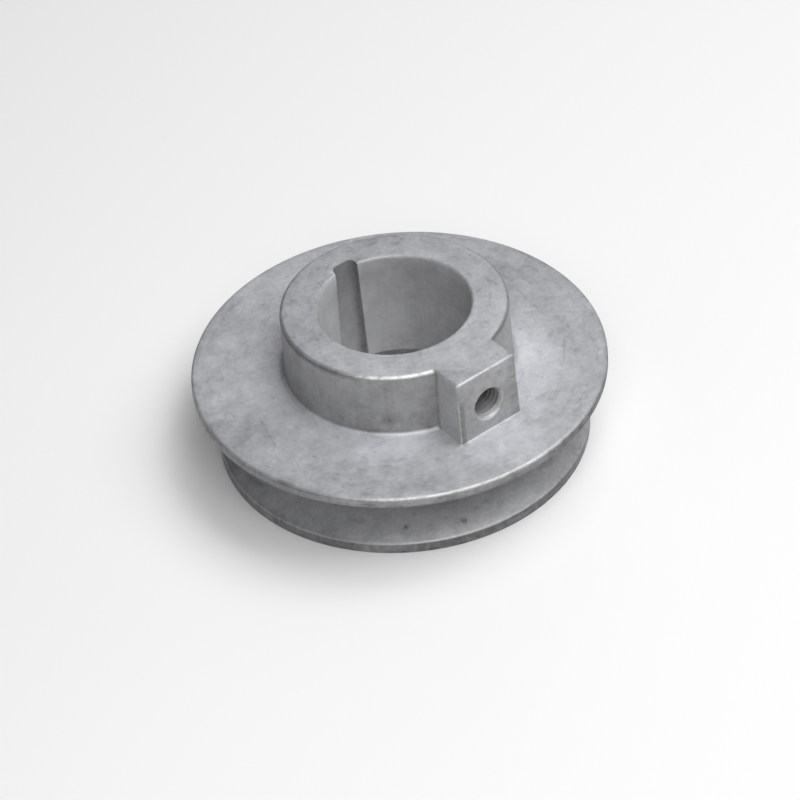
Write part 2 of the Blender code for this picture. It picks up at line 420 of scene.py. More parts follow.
def flash_fin():
    """A slim rod up the lower part of the boss's corner at -X, half sunk in it."""
    rings = []
    for height in (RIM_WIDTH - FLASH_RADIUS, RIM_WIDTH + FLASH_HEIGHT / 2, RIM_WIDTH + FLASH_HEIGHT):
        slope = (TOP - height) / (TOP - RIM_WIDTH)
        x = -BOSS_TOP_WIDTH / 2 - (BOSS_LOW_WIDTH - BOSS_TOP_WIDTH) / 2 * slope + FLASH_RADIUS
        y = -BOSS_FACE_DISTANCE - BOSS_FACE_DRAFT * slope + FLASH_RADIUS
        rings.append([Vector((px, py, height)) for px, py in arc((x, y), FLASH_RADIUS, 0, 2 * pi, 12)[:-1]])
    return lofted("flash_fin", rings)


def groove_place(degrees_round, radius, _size):
    """The point on the groove's lower wall at this angle from +X and this radius."""
    angle = radians(degrees_round)
    height = LOWER_LAND_HEIGHT + (LOWER_FLANGE_RADIUS - radius) * tan(GROOVE_HALF_ANGLE)
    return (radius * cos(angle), radius * sin(angle), height)


def pit_cutters():
    """One mesh of small balls that dent the groove's lower wall."""
    shape = bmesh.new()
    for pit in GROOVE_PITS:
        size = pit[2]
        place = Vector(groove_place(*pit)) + Vector((0.0, 0.0, size / 3))
        bmesh.ops.create_icosphere(shape, subdivisions=2, radius=size, matrix=Matrix.Translation(place))
    return object_of(shape, "pit_cutters")


def ejector_cutters():
    """One mesh of flat discs, sunk a little into the underside."""
    shape = bmesh.new()
    depth = 2 * EJECTOR_MARK_DEPTH
    for i in range(EJECTOR_MARKS):
        angle = 2 * pi * (i + 0.5) / EJECTOR_MARKS
        x, y = EJECTOR_CIRCLE_RADIUS * cos(angle), EJECTOR_CIRCLE_RADIUS * sin(angle)
        bmesh.ops.create_cone(
            shape, cap_ends=True, segments=ROUND_SEGMENTS, radius1=EJECTOR_MARK_RADIUS,
            radius2=EJECTOR_MARK_RADIUS, depth=depth, matrix=Matrix.Translation((x, y, 0.0)),
        )
    return object_of(shape, "ejector_cutters")


# ---------------------------------------------------------------- wear, painted light and shade, and stains

# A sector is a stretch round the bore's axis: (share, azimuth, half spread, softness beyond it), in degrees.
# Azimuth 0 is at -Y, and 90 at +X.

# Edges on circles, rubbed bright all round, with a painted highlight in some sectors: (radius, height, reach,
# wear all round, sectors with a painted highlight)
HUB_EDGE_WEAR_AND_HIGHLIGHT = (HUB_RADIUS - 0.15 * MM, TOP - 0.15 * MM, 0.45 * MM, 0.08, ((0.92, -30, 20, 14),))
EDGE_WEAR_AND_HIGHLIGHT_CIRCLES = (
    (UPPER_FLANGE_RADIUS - 0.1 * MM, RIM_WIDTH - 0.16 * MM, 0.44 * MM, 0.16, ((0.5, -20, 18, 22),)),
    (LOWER_FLANGE_RADIUS - 0.15 * MM, LOWER_LAND_HEIGHT, 0.35 * MM, 0.12, ((0.16, -10, 30, 18),)),
    (BORE_RADIUS + 0.15 * MM, TOP - 0.1 * MM, 0.4 * MM, 0.12, ()),
)

# The other bright edges: the boss's top edge, rubbed and with a painted highlight that fades towards +X, a
# painted highlight along the flash, and one on the lower part of the tapped hole's lip
BOSS_EDGE_WEAR_AND_HIGHLIGHT = 0.75
BOSS_EDGE_WEAR_AND_HIGHLIGHT_REACH = 0.42 * MM
BOSS_EDGE_HIGHLIGHT_FADE = 24 * MM
FLASH_HIGHLIGHT = 0.8
FLASH_HIGHLIGHT_REACH = 0.22 * MM
HOLE_LIP_HIGHLIGHT = 0.5
HOLE_LIP_REACH = 0.3 * MM

# Tones below are shares lighter (+) or darker (-) than the plain skin: painted light and shade, apart from a
# few marks. First the bore and the keyway.
BORE_TONE = 0.02
BORE_MOUTH_TONE = 0.2
BORE_LIT = ((0.46, -165, 22, 45), (0.16, -142, 18, 20))
KEYWAY_FLOOR_TONE = 0.2
KEYWAY_FLOOR_TOP_TONE = -0.35
KEYWAY_WALL_TONE = -0.34
KEYWAY_CHIP_TONE = 0.4
KEYWAY_CHIP_PLACE = (-2.1 * MM, 11.9 * MM, TOP)
KEYWAY_CHIP_REACH = 0.9 * MM

# The rim, in painted light and shade: the groove's lower wall, its pits, the lands and their lips; and the
# ejector marks on the underside, a little darker
GROOVE_OUTER_TONE = -0.26
GROOVE_LIT = ((0.5, -18, 8, 35), (0.08, 30, 10, 15))
GROOVE_INNER_LIT = ((0.14, -100, 50, 40),)
PIT_TONE = -0.75
LOWER_LAND_TONE = -0.5
LOWER_LAND_DIM = ((-0.1, 0, 20, 20),)
UPPER_LAND_TONE = -0.34
UPPER_LAND_LOW_TONE = -0.14
UPPER_LAND_DIM = ((-0.2, 42, 25, 30),)
UPPER_EDGE_TONE = -0.3
UPPER_EDGE_LIT = ((1, -18, 26, 22),)
LOWER_LIP_TONE = -0.1
EJECTED_TONE = -0.12

# The hub: painted light and shade on its top, its edge and its wall, and painted shade in the fillet at its
# foot
HUB_TOP_SHADES = ((0.05, 25, 20, 30), (-0.17, -140, 45, 45), (-0.05, 115, 30, 35))
HUB_EDGE_TONE = -0.6
HUB_EDGE_LIT = ((1, -34, 20, 14),)
HUB_WALL_TONE = -0.24
HUB_WALL_LIT = ((0.1, 22, 22, 14),)
HUB_FOOT_TONE = -0.34

# The upper flange's face: painted light out from the hub's foot, darker near the rim at one side, and
# patches, wide ones of painted light and shade and small dark marks and dents: (x, y, reach, tone)
PAINTED_LIGHT_FROM_HUB = ((0.64, -52, 36, 48), (0.1, -140, 20, 30), (0.2, 62, 12, 20))
PAINTED_LIGHT_WIDTH = 6.5 * MM
BESIDE_BOSS_SHADE = 0.7
OUTSKIRTS_DIM = ((-0.08, -100, 40, 30),)
FLANGE_LIGHT_PATCHES_AND_MARKS = (
    (14 * MM, -13.4 * MM, 10 * MM, 0.21),
    (9 * MM, -19 * MM, 9 * MM, 0.1),
    (-1 * MM, -23.5 * MM, 8.5 * MM, 0.3),
    (-20 * MM, 14 * MM, 12 * MM, 0.12),
    (27 * MM, 3 * MM, 13 * MM, -0.18),
    (21 * MM, -13.5 * MM, 5 * MM, -0.12),
    (-25 * MM, 1 * MM, 7 * MM, -0.14),
    (-21.3 * MM, -17.2 * MM, 2.2 * MM, -0.16),
    (-14.1 * MM, -23.8 * MM, 2.4 * MM, -0.18),
    (-17.5 * MM, -22.5 * MM, 2.0 * MM, -0.12),
    (-15.9 * MM, -17.1 * MM, 1.2 * MM, -0.16),
    (-14.6 * MM, -16.6 * MM, 1.0 * MM, -0.14),
    (21.4 * MM, -11 * MM, 1.6 * MM, -0.14),
    (20 * MM, -16 * MM, 1.4 * MM, -0.12),
    (25.8 * MM, -2.4 * MM, 2.0 * MM, -0.12),
    (-9.8 * MM, -20.9 * MM, 0.7 * MM, -0.3),
    (-6.1 * MM, -23.6 * MM, 0.7 * MM, -0.3),
)

# The boss, in painted light and shade: its top, its face and its side at -X, which both darken upwards, its
# corner at +X, and painted shade in the creases where it leaves the hub and in the tapped hole
BOSS_TOP_TONE = -0.14
BOSS_FACE_TONE = -0.01
BOSS_FACE_UPPER_TONE = -0.15
BOSS_FACE_EDGE_TONE = -0.2
BOSS_SIDE_TONE = 0.22
BOSS_SIDE_UPPER_TONE = -0.14
CREASE_TONE = -0.04
CREASE_X = 5.2 * MM
CREASE_FOOT_Y = -15.8 * MM
CREASE_TOP_Y = -15.7 * MM
HOLE_TONE = -0.3

# Brown stains: a strip beside the flash, the tapped hole, and spots: (place, reach, depth)
STAIN_STRIP_REACH = 0.55 * MM
STAIN_IN_HOLE = 0.3
STAIN_SPOTS = (
    ((-11.4 * MM, -12.1 * MM, 15.6 * MM), 1.4 * MM, 0.8),
    ((-3.4 * MM, -20.4 * MM, 18.6 * MM), 0.8 * MM, 0.5),
)

# What tells one surface from the next: the Z share of a level face's normal, the X share of a side's normal,
# and a distance that is small beside the roundings
LEVEL = 0.5
SIDEWAYS = 0.8
THIN = 0.1 * MM


def near_circle(points, radius, height, reach):
    """1 on this circle round the bore's axis, falling to 0 at the reach from it."""
    away = np.hypot(np.hypot(points[:, 0], points[:, 1]) - radius, points[:, 2] - height)
    return np.clip(1 - away / reach, 0, 1)


def near_line(points, start, end, reach):
    """1 on the straight line from start to end, falling to 0 at the reach from it."""
    start, end = np.array(start), np.array(end)
    along = end - start
    share = np.clip((points - start) @ along / (along @ along), 0, 1)
    away = np.linalg.norm(points - start - share[:, None] * along, axis=1)
    return np.clip(1 - away / reach, 0, 1)


def ball(points, centre, reach):
    """1 at this place, falling smoothly to 0 at the reach from it."""
    away = np.clip(np.linalg.norm(points - np.array(centre), axis=1) / reach, 0, 1)
    return (1 - away) ** 2 * (1 + 2 * away)


def ramp(values, low, high):
    """0 up to the low value, rising to 1 at the high value. It falls where low is the larger of the two."""
    return np.clip((values - low) / (high - low), 0, 1)


def facing(points, azimuth, spread, soften):
    """1 where a point lies within the spread of the azimuth, and softly 0 beyond it, all in degrees."""
    around = np.degrees(np.arctan2(points[:, 0], -points[:, 1]))
    away = np.abs((around - azimuth + 180) % 360 - 180)
    return np.clip(1 - (away - spread) / soften, 0, 1)


def in_sectors(points, sectors):
    """The sum of the shares of the sectors that each point lies in."""
    return sum(share * facing(points, *sector) for share, *sector in sectors)


def boss_corner(side, height):
    """The boss's sharp corner at this height, at -X for side -1 and at +X for side 1."""
    slope = (TOP - height) / (TOP - RIM_WIDTH)
    half_width = (BOSS_TOP_WIDTH + (BOSS_LOW_WIDTH - BOSS_TOP_WIDTH) * slope) / 2
    return (side * half_width, -BOSS_FACE_DISTANCE - BOSS_FACE_DRAFT * slope, height)


def off_boss(points):
    """Whether each point of the hub is clear of the boss."""
    return (np.abs(points[:, 0]) > BOSS_TOP_WIDTH / 2) | (points[:, 1] > -HUB_RADIUS / 2)


def from_hole(points):
    """How far each point is from the tapped hole's axis."""
    return np.hypot(points[:, 0], points[:, 2] - SCREW_AXIS_HEIGHT)


# Wear all round the circle, and a painted highlight in its sectors
def circle_wear_and_highlight(points, radius, height, reach, wear, sectors):
    return near_circle(points, radius, height, reach) * (wear + in_sectors(points, sectors))


def wear_and_highlight(points):
    """How much each point lies on a bright edge, from 0 to 1: edges rubbed bright, and highlights painted
    along edges.
    """
    flash_top = RIM_WIDTH + FLASH_HEIGHT
    flash = near_line(points, boss_corner(-1, RIM_WIDTH), boss_corner(-1, flash_top), FLASH_HIGHLIGHT_REACH)
    boss_edge = near_line(points, boss_corner(-1, TOP), boss_corner(1, TOP), BOSS_EDGE_WEAR_AND_HIGHLIGHT_REACH)
    hole_lip = np.clip(1 - np.abs(from_hole(points) - HOLE_MOUTH_RADIUS + THIN) / HOLE_LIP_REACH, 0, 1)
    hole_lip *= points[:, 1] < -BOSS_FACE_DISTANCE + 0.5 * MM
    hole_lip *= points[:, 2] < SCREW_AXIS_HEIGHT + 1 * MM
    worn_and_highlit = [circle_wear_and_highlight(points, *circle) for circle in EDGE_WEAR_AND_HIGHLIGHT_CIRCLES]
    worn_and_highlit.append(circle_wear_and_highlight(points, *HUB_EDGE_WEAR_AND_HIGHLIGHT) * off_boss(points))
    worn_and_highlit.append(boss_edge * (BOSS_EDGE_WEAR_AND_HIGHLIGHT - points[:, 0] / BOSS_EDGE_HIGHLIGHT_FADE))
    worn_and_highlit.append(flash * FLASH_HIGHLIGHT)
    worn_and_highlit.append(hole_lip * HOLE_LIP_HIGHLIGHT)
    return np.max(worn_and_highlit, axis=0)


class Skin:
    """The casting's points, and what the tones ask of each: where it is, and which way it faces."""

    def __init__(self, points, normals):
        self.points = points
        self.x, self.y, self.height = points.T
        self.radius = np.hypot(self.x, self.y)
        self.sideways = np.abs(normals[:, 0])
        self.upward = normals[:, 2]
        self.level = np.abs(self.upward) > LEVEL


def bore_tone(skin):
    """Painted light on the bore's lit side and mouth, painted light and shade on the keyway's floor and
    walls, and a lighter spot at its chipped corner.
    """
    in_bore = (skin.radius < BORE_RADIUS + THIN / 2) & ~skin.level
    in_key = (skin.radius > BORE_RADIUS + THIN / 2) & (skin.radius < KEYWAY_FLOOR_RADIUS + 0.5 * MM)
    in_key &= (np.abs(skin.x) < KEYWAY_LOW_WIDTH / 2 + THIN) & (skin.y > 0) & ~skin.level
    wall = np.clip(1.3 * skin.sideways, 0, 1) * in_key
    floor = np.clip(1 - wall, 0, 1) * in_key
    mouth = ramp(skin.height, TOP - 2.2 * MM, TOP - 0.7 * MM)
    near_top = ramp(skin.height, TOP - 8 * MM, TOP)
    return (
        in_bore * (BORE_TONE + BORE_MOUTH_TONE * mouth + in_sectors(skin.points, BORE_LIT))
        + floor * (KEYWAY_FLOOR_TONE + KEYWAY_FLOOR_TOP_TONE * near_top)
        + wall * KEYWAY_WALL_TONE
        + KEYWAY_CHIP_TONE * ball(skin.points, KEYWAY_CHIP_PLACE, KEYWAY_CHIP_REACH)
    )


def groove_tone(skin):
    """Painted light and shade on the groove's lower wall, lit towards its lip, and painted shade in the pits
    in it.
    """
    wall = (skin.radius > GROOVE_ROOT_RADIUS) & (skin.height < LOWER_LAND_HEIGHT + 3 * MM)
    wall &= skin.upward > LEVEL
    outward = ramp(skin.radius, 21 * MM, LOWER_FLANGE_RADIUS) ** 2
    inward = ramp(skin.radius, 25 * MM, 23 * MM)
    outer = outward * (GROOVE_OUTER_TONE + in_sectors(skin.points, GROOVE_LIT))
    inner = inward * in_sectors(skin.points, GROOVE_INNER_LIT)
    pits = [ball(skin.points, groove_place(*pit), 1.7 * pit[2]) for pit in GROOVE_PITS]
    return wall * (outer + inner) + PIT_TONE * np.max(pits, axis=0)


def rim_tone(skin):
    """Painted shade on the two lands, on the rim's edge outside its lit sector and on the lower lip; and the
    ejector marks on the underside, a little darker.
    """
    lower_land = (skin.radius > LOWER_FLANGE_RADIUS - 0.2 * MM) & (skin.height < LOWER_LAND_HEIGHT - 0.2 * MM)
    lower_land &= ~skin.level
    upper_land = (skin.radius > UPPER_FLANGE_RADIUS - 0.25 * MM) & (skin.height < RIM_WIDTH - 0.3 * MM)
    low_on_land = ramp(skin.height, RIM_WIDTH - 0.6 * MM, RIM_WIDTH - 1.5 * MM)
    upper_edge = near_circle(skin.points, UPPER_FLANGE_RADIUS, RIM_WIDTH - THIN, 0.6 * MM)
    lower_lip = near_circle(skin.points, LOWER_FLANGE_RADIUS - 0.15 * MM, LOWER_LAND_HEIGHT, 0.5 * MM)
    ejected = (skin.upward < -LEVEL) & (skin.height > SINK) & (skin.height < 2 * EJECTOR_MARK_DEPTH)
    upper_tone = UPPER_LAND_TONE + UPPER_LAND_LOW_TONE * low_on_land + in_sectors(skin.points, UPPER_LAND_DIM)
    return (
        lower_land * (LOWER_LAND_TONE + in_sectors(skin.points, LOWER_LAND_DIM))
        + upper_land * upper_tone
        + upper_edge * UPPER_EDGE_TONE * (1 - in_sectors(skin.points, UPPER_EDGE_LIT))
        + lower_lip * LOWER_LIP_TONE
        + ejected * EJECTED_TONE
    )


def hub_tone(skin):
    """Painted light and shade on the hub's top, its edge and its wall, and painted shade in the fillet at its
    foot.
    """
    top = (skin.height > TOP - THIN) & skin.level
    edge = near_circle(skin.points, HUB_RADIUS, TOP - 0.3 * MM, 0.6 * MM) * off_boss(skin.points)
    wall = (skin.radius > HUB_RADIUS - 0.3 * MM) & (skin.radius < HUB_RADIUS + 0.5 * MM) & ~skin.level
    foot = near_circle(skin.points, HUB_RADIUS + 0.5 * MM, RIM_WIDTH + 0.15 * MM, 0.8 * MM)
    return (
        top * in_sectors(skin.points, HUB_TOP_SHADES)
        + edge * HUB_EDGE_TONE * (1 - in_sectors(skin.points, HUB_EDGE_LIT))
        + wall * (HUB_WALL_TONE + in_sectors(skin.points, HUB_WALL_LIT))
        + foot * HUB_FOOT_TONE
    )


def flange_tone(skin):
    """Painted light and shade on the upper flange's face, and small marks and dents on it."""
    face = skin.level & (np.abs(skin.height - RIM_WIDTH) < 0.3 * MM)
    hub_foot = HUB_RADIUS + HUB_FILLET
    from_hub = ramp(skin.radius, hub_foot + PAINTED_LIGHT_WIDTH, hub_foot)
    beside_boss = near_line(skin.points, boss_corner(-1, RIM_WIDTH), (-5 * MM, -17 * MM, RIM_WIDTH), 2.5 * MM)
    painted_light_near_hub = from_hub * (1 - BESIDE_BOSS_SHADE * beside_boss) * in_sectors(skin.points, PAINTED_LIGHT_FROM_HUB)
    outskirts = ramp(skin.radius, 26 * MM, 29 * MM) * in_sectors(skin.points, OUTSKIRTS_DIM)
    light_patches_and_marks = [ball(skin.points, (x, y, RIM_WIDTH), reach) * depth for x, y, reach, depth in FLANGE_LIGHT_PATCHES_AND_MARKS]
    return face * (painted_light_near_hub + outskirts) + skin.level * np.sum(light_patches_and_marks, axis=0)


def boss_tone(skin):
    """Painted light and shade on the boss, and painted shade in the creases beside it and in the tapped hole.
    """
    rise = (skin.height - RIM_WIDTH) / (TOP - RIM_WIDTH)
    above_flange = skin.height > RIM_WIDTH
    top = (skin.height > TOP - THIN) & skin.level & (skin.radius > HUB_RADIUS)
    face = (skin.y < -BOSS_FACE_DISTANCE + THIN) & ~skin.level & above_flange
    side = (skin.sideways > SIDEWAYS) & (skin.x < 0) & (skin.y < -HUB_RADIUS) & above_flange
    face_edge = near_line(skin.points, boss_corner(1, RIM_WIDTH), boss_corner(1, TOP), 1.6 * MM)
    creases = []
    for crease_x in (-CREASE_X, CREASE_X):
        foot, head = (crease_x, CREASE_FOOT_Y, RIM_WIDTH), (crease_x, CREASE_TOP_Y, TOP)
        creases.append(near_line(skin.points, foot, head, 0.8 * MM))
    in_hole = (from_hole(skin.points) < THREAD_MEAN_RADIUS + 0.25 * MM) & (skin.y < -BORE_RADIUS)
    in_hole &= skin.y > -BOSS_FACE_DISTANCE + 0.4 * MM
    return (
        top * BOSS_TOP_TONE
        + face * (BOSS_FACE_TONE + BOSS_FACE_UPPER_TONE * rise)
        + side * (BOSS_SIDE_TONE + BOSS_SIDE_UPPER_TONE * rise)
        + face_edge * BOSS_FACE_EDGE_TONE
        + np.max(creases, axis=0) * CREASE_TONE
        + in_hole * HOLE_TONE
    )


def painted_light_and_marks(points, normals):
    """How much lighter or darker than the plain skin each point is, as a share: painted light and shade, and
    a few marks.
    """
    skin = Skin(points, normals)
    parts = (bore_tone, groove_tone, rim_tone, hub_tone, flange_tone, boss_tone)
    return sum(part(skin) for part in parts)


def stain(points):
    """How much each point lies in a brown stain, from 0 to 1."""
    beside = Vector((0.5 * MM, 0.0, 0.0))
    low, high = (Vector(boss_corner(-1, RIM_WIDTH + rise)) + beside for rise in (0.0, FLASH_HEIGHT))
    strip = near_line(points, low, high, STAIN_STRIP_REACH)
    in_hole = (from_hole(points) < THREAD_MEAN_RADIUS + 0.2 * MM) & (points[:, 1] < -BORE_RADIUS)
    spots = [depth * ball(points, place, reach) for place, reach, depth in STAIN_SPOTS]
    return np.max([strip, STAIN_IN_HOLE * in_hole, *spots], axis=0)


def vertex_array(mesh, name):
    values = np.empty(len(mesh.vertices) * 3, np.float32)
    mesh.vertices.foreach_get(name, values)
    return values.reshape(-1, 3).astype(float)


def store(mesh, name, values):
    attribute = mesh.attributes.new(name, "FLOAT", "POINT")
    attribute.data.foreach_set("value", values.astype(np.float32))


def unevenness(point):
    """How deep the wear goes at this point, from 0 to about 1.5, in patches of two sizes."""
    coarse = noise.noise(Vector(point / EDGE_NICK_SIZE))
    fine = noise.noise(Vector(point / (EDGE_NICK_SIZE / 3)))
    return max(0.0, coarse + 0.5 * fine)


def rub_edges(obj):
    """Marks the rubbed edges and their painted highlights, the painted light and shade, and the stains on the
    mesh, and wears the edges back unevenly.
    """
    mesh = obj.data
    points = vertex_array(mesh, "co")
    normals = vertex_array(mesh, "normal")
    worn_and_highlit = wear_and_highlight(points)
    # Rubbed edges with painted highlights, then painted light and shade with a few marks, then stains
    store(mesh, "wear_and_highlight", worn_and_highlit)
    store(mesh, "painted_light_and_marks", painted_light_and_marks(points, normals))
    store(mesh, "stain", stain(points))
    for i in np.flatnonzero(worn_and_highlit > 0):
        points[i] -= normals[i] * (EDGE_NICK_DEPTH * worn_and_highlit[i] * unevenness(points[i]))
    mesh.vertices.foreach_set("co", points.astype(np.float32).ravel())
    mesh.update()


def build_casting():
    casting = turned("die_casting", divided(casting_outline(), WALL_SPACING), TURNED_STEPS)
    joined = [boss_block(), flash_fin()]
    cut = [keyway_cutter(), hole_cutter(), pit_cutters(), ejector_cutters()]
    for helper in joined:
        boolean(casting, helper, "UNION")
    for helper in cut:
        boolean(casting, helper, "DIFFERENCE")
    finished(casting, *joined, *cut)
    rub_edges(casting)
    return casting


# ---------------------------------------------------------------- set screw


def cutter_along_screw(name, middle, depth, outer_radius, inner_radius, segments):
    """A prism or a cone on the screw's axis, with its middle at this distance from the bore's axis."""
    shape = bmesh.new()
    place = Matrix.Translation((0.0, -middle, SCREW_AXIS_HEIGHT)) @ Matrix.Rotation(pi / 2, 4, "X")
    bmesh.ops.create_cone(
        shape, cap_ends=True, segments=segments, radius1=outer_radius, radius2=inner_radius, depth=depth,
        matrix=place,
    )
    return object_of(shape, name)


def socket_cutter():
    """The hexagon socket, from outside the screw's outer end down to its depth."""
    depth = SOCKET_DEPTH + CUT_MARGIN
    middle = SCREW_TIP_DISTANCE + SCREW_LENGTH - SOCKET_DEPTH + depth / 2
    radius = SOCKET_ACROSS_FLATS / sqrt(3)
    return cutter_along_screw("socket_cutter", middle, depth, radius, radius, 6)


def cup_cutter():
    """A cone that hollows the screw's tip and leaves a narrow ring round it. Half of it stands out of the
    tip, so it is twice as deep and twice as wide as the cup."""
    radius = 2 * (CUP_RADIUS - CUP_LIP)
    return cutter_along_screw("cup_cutter", SCREW_TIP_DISTANCE, 2 * CUP_DEPTH, radius, 0.0, ROUND_SEGMENTS)


def build_set_screw():
    outer_end = -(SCREW_TIP_DISTANCE + SCREW_LENGTH)
    tip = -SCREW_TIP_DISTANCE
    crest = THREAD_MEAN_RADIUS + THREAD_HALF_DEPTH

    def chamfered(y, radius):
        from_outer = y - outer_end
        from_tip = tip - y
        return min(radius, crest - SCREW_END_CHAMFER + from_outer, CUP_RADIUS + from_tip)

    mean = THREAD_MEAN_RADIUS - THREAD_CLEARANCE
    screw = threaded_rod("socket_set_screw", outer_end, tip, mean, chamfered, per_pitch=16)
    cutters = [socket_cutter(), cup_cutter()]
    for cutter in cutters:
        boolean(screw, cutter, "DIFFERENCE")
    return finished(screw, *cutters)


# ---------------------------------------------------------------- materials


def add_node(tree, kind, inputs=None, **settings):
    """A node with these settings. Each input is a value, or the output socket that feeds it."""
    made = tree.nodes.new(kind)
    for name, value in settings.items():
        setattr(made, name, value)
    for name, value in (inputs or {}).items():
        if isinstance(value, bpy.types.NodeSocket):
            tree.links.new(value, made.inputs[name])
        else:
            made.inputs[name].default_value = value
    return made


def math_node(tree, operation, first, second, clamp=False):
    return add_node(
        tree, "ShaderNodeMath", {0: first, 1: second}, operation=operation, use_clamp=clamp
    ).outputs[0]


def noise_node(tree, place, feature, detail=3.0, roughness=0.55, distortion=0.0):
    """Noise whose largest features are about this size, in metres."""
    inputs = {
        "Vector": place, "Scale": 1 / feature, "Detail": detail, "Roughness": roughness,
        "Distortion": distortion,
    }
    return add_node(tree, "ShaderNodeTexNoise", inputs).outputs["Fac"]


def ranged(tree, value, low, high, to_low, to_high):
    """The value's range from low to high spread smoothly over a new range, and held at its ends."""
    inputs = {"Value": value, "From Min": low, "From Max": high, "To Min": to_low, "To Max": to_high}
    return add_node(
        tree, "ShaderNodeMapRange", inputs, interpolation_type="SMOOTHSTEP"
    ).outputs["Result"]


def blend_colours(tree, share, first, second):
    made = add_node(tree, "ShaderNodeMix", data_type="RGBA")
    sockets = {s.identifier: s for s in made.inputs}
    for identifier, value in (
        ("Factor_Float", share), ("A_Color", first), ("B_Color", second),
    ):
        if isinstance(value, bpy.types.NodeSocket):
            tree.links.new(value, sockets[identifier])
        else:
            sockets[identifier].default_value = value
    return next(s for s in made.outputs if s.identifier == "Result_Color")


def attribute(tree, name):
    return add_node(tree, "ShaderNodeAttribute", attribute_name=name).outputs["Fac"]


def bump(tree, height, depth, strength=1.0, normal=None):
    """Bump whose full range of height is this deep, in metres."""
    inputs = {"Height": height, "Distance": depth, "Strength": strength}
    if normal:
        inputs["Normal"] = normal
    return add_node(tree, "ShaderNodeBump", inputs).outputs["Normal"]


def varied(tree, noise_value, low, high):
    """Noise, whose values lie mostly in the middle of 0 to 1, spread over this range."""
    return ranged(tree, noise_value, 0.3, 0.7, low, high)


def round_the_axis(tree, parts, around, along):
    """Coordinates that follow the bore's axis: a circle of this radius for the direction from the axis, and
    along it this output socket. What varies slowly in one of them is drawn out that way."""
    flat = add_node(tree, "ShaderNodeCombineXYZ", {0: parts.outputs[0], 1: parts.outputs[1]})
    direction = add_node(tree, "ShaderNodeVectorMath", {0: flat.outputs[0]}, operation="NORMALIZE")
    circle = add_node(
        tree, "ShaderNodeVectorMath", {0: direction.outputs[0], "Scale": around}, operation="SCALE"
    )
    lift = add_node(tree, "ShaderNodeCombineXYZ", {2: along})
    return add_node(
        tree, "ShaderNodeVectorMath", {0: circle.outputs[0], 1: lift.outputs[0]}, operation="ADD"
    ).outputs[0]


def new_material(name, base, roughness, metallic):
    material = bpy.data.materials.new(name)
    material.use_nodes = True
    shader = material.node_tree.nodes["Principled BSDF"]
    shader.inputs["Base Color"].default_value = base
    shader.inputs["Roughness"].default_value = roughness
    shader.inputs["Metallic"].default_value = metallic
    return material, material.node_tree, shader


def cast_shade(tree, place, parts, wall, mottle, specks, grain, lines):
    """How light the skin is, as a share: clouds, mottling, fine specks, draw lines, smudges and the painted
    light and shade from the mesh. The walls of the hub and the bore are calmer than the rest."""
    x2 = math_node(tree, "MULTIPLY", parts.outputs[0], parts.outputs[0])
    y2 = math_node(tree, "MULTIPLY", parts.outputs[1], parts.outputs[1])
    radius = math_node(tree, "SQRT", math_node(tree, "ADD", x2, y2), 0.0)
    outward = math_node(tree, "ADD", radius, parts.outputs[2])
    round_faces = round_the_axis(tree, parts, SMUDGE_CIRCLE, outward)
    cloud = noise_node(tree, place, CLOUD_SIZE, detail=3.0)
    smudge = noise_node(tree, round_faces, SMUDGE_SIZE, detail=4.0, roughness=0.62, distortion=0.5)
    near_hub = ranged(tree, radius, HUB_RADIUS + HUB_FILLET, HUB_RADIUS + 1.3 * MM, 1.0, 0.0)
    calm = ranged(tree, math_node(tree, "MULTIPLY", wall, near_hub), 0.0, 1.0, 1.0, 0.5)

    shade = math_node(tree, "MULTIPLY", varied(tree, cloud, 0.93, 1.07), varied(tree, mottle, 0.9, 1.1))
    fine = math_node(tree, "ADD", varied(tree, specks, -0.07, 0.07), varied(tree, grain, -0.03, 0.03))
    shade = math_node(tree, "ADD", shade, math_node(tree, "MULTIPLY", fine, calm))
    line_depth = math_node(tree, "MULTIPLY", wall, varied(tree, lines, -0.03, 0.03))
    shade = math_node(tree, "ADD", shade, line_depth)
    smudged = math_node(tree, "MULTIPLY", ranged(tree, smudge, 0.54, 0.72, 0.0, 0.22), calm)
    shade = math_node(tree, "SUBTRACT", shade, smudged)
    # The painted light and shade, and a few marks, stored on the mesh
    return math_node(tree, "ADD", shade, attribute(tree, "painted_light_and_marks"))


